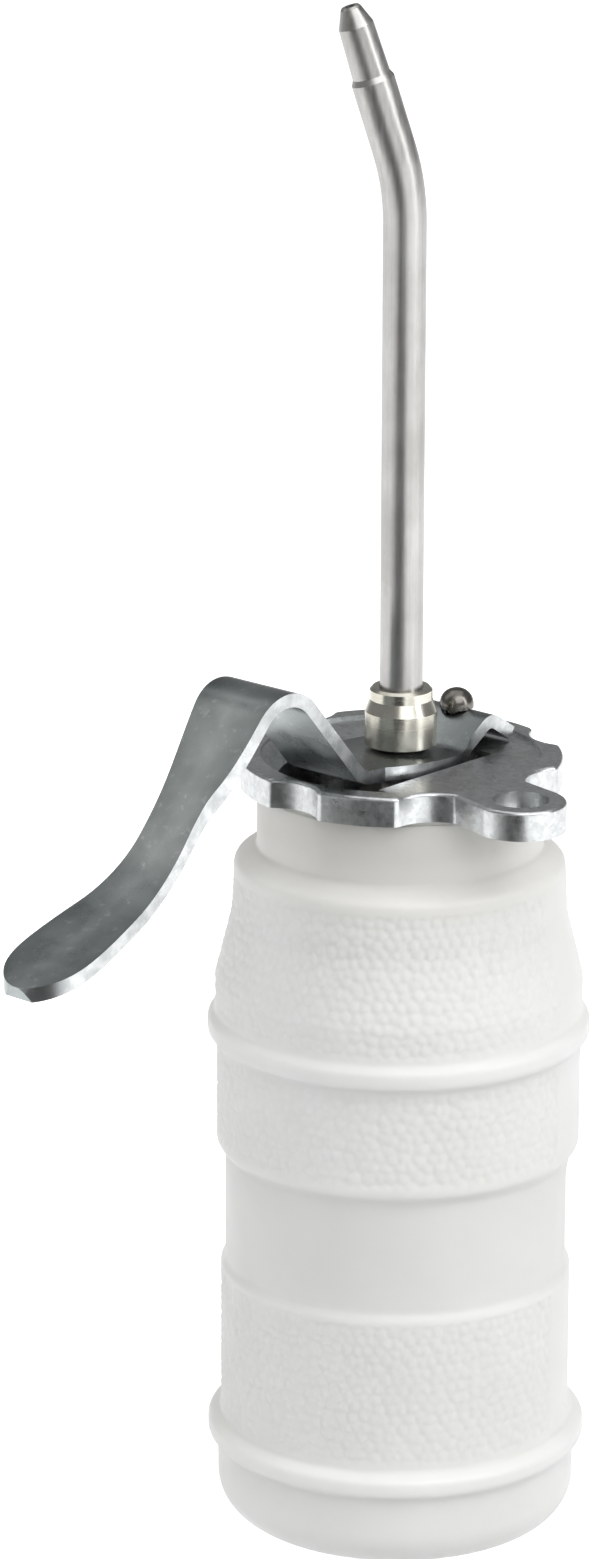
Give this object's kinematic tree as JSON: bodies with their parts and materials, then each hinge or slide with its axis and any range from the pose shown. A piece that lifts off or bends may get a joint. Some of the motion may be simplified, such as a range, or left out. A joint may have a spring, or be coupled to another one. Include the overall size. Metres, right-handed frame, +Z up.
{
  "type": "handy oiler can",
  "caption": "Handheld pump oiler: squat plastic bottle, lobed die-cast cap with hanging lug, squeeze lever and upright spout bent at its tip.",
  "frame": {"origin": "centre of the bottle's foot, on the surface it stands on", "axes": "+Z up the bottle and the spout; the lever's paddle points to -X and its fulcrum stud stands at +X"},
  "size_m": [0.1086, 0.0635, 0.2291],
  "materials": {
    "hdpe": "milky translucent polyethylene, pebbled",
    "cast_zinc": "die-cast zinc, spangled plated finish",
    "zinc_plate": "blue-grey zinc plated sheet steel",
    "nickel": "nickel plated, slightly yellow",
    "steel_tube": "drawn steel tube, satin",
    "dark_steel": "polished dark steel",
    "brass": "turned brass",
    "rubber": "nitrile rubber",
    "clear_hose": "natural polyethylene hose",
    "spring_steel": "spring wire"
  },
  "bodies": {
    "bottle_body": {"bottle": "hdpe"},
    "thread_lift": {"cap_gasket": "clear_hose"},
    "cap_body": {"cap": "cast_zinc", "fulcrum_stud": "dark_steel", "pump_cylinder": "steel_tube", "cylinder_lock_nut": "nickel", "guide_bush": "nickel", "rod_seal": "rubber", "inlet_valve_body": "brass", "inlet_ball_stop": "brass", "suction_tube": "clear_hose", "return_spring": "spring_steel"},
    "lever_body": {"lever": "zinc_plate"},
    "plunger_body": {"plunger_rod": "steel_tube", "piston": "brass", "piston_seal": "rubber", "spout_nut": "nickel", "spout_washer": "rubber", "outlet_spring_stop": "brass", "outlet_spring": "spring_steel"},
    "spout_body": {"spout_tube": "steel_tube", "spout_nozzle": "steel_tube"},
    "inlet_ball_body": {"inlet_ball": "dark_steel"},
    "outlet_ball_body": {"outlet_ball": "dark_steel"}
  },
  "joints": [
    {"name": "cap_lift", "type": "slide", "parent": "bottle_body", "child": "thread_lift", "axis": [0, 0, 1], "range_m": [0, 0.00601]},
    {"name": "cap_turn", "type": "hinge", "parent": "thread_lift", "child": "cap_body", "pos_m": [0, 0, 0.115], "axis": [0, 0, 1], "range_deg": [0, 720]},
    {"name": "lever_squeeze", "type": "hinge", "parent": "cap_body", "child": "lever_body", "pos_m": [0.0125, 0, 0.12], "axis": [0, -1, 0], "range_deg": [0, 5.5], "stiffness_Nm_per_rad": 0.8, "springref_deg": -17.19},
    {"name": "pump_stroke", "type": "slide", "parent": "cap_body", "child": "plunger_body", "axis": [0, 0, -1], "range_m": [0, 0.00106], "stiffness_N_per_m": 100, "springref_m": -0.004, "deforming": ["return_spring"]},
    {"name": "spout_swivel", "type": "hinge", "parent": "plunger_body", "child": "spout_body", "pos_m": [0, 0, 0.126], "axis": [0, 0, 1], "continuous": true},
    {"name": "inlet_ball_lift", "type": "slide", "parent": "cap_body", "child": "inlet_ball_body", "axis": [0, 0, 1], "range_m": [0, 0.0004]},
    {"name": "outlet_ball_lift", "type": "slide", "parent": "plunger_body", "child": "outlet_ball_body", "axis": [0, 0, 1], "range_m": [0, 0.0008], "stiffness_N_per_m": 60, "springref_m": -0.002, "deforming": ["outlet_spring"]}
  ],
  "couplings": [
    {"joint": "cap_lift", "follows": "cap_turn", "m_per_rad": 0.00047746},
    {"joint": "pump_stroke", "follows": "lever_squeeze", "m_per_rad": 0.010938}
  ]
}
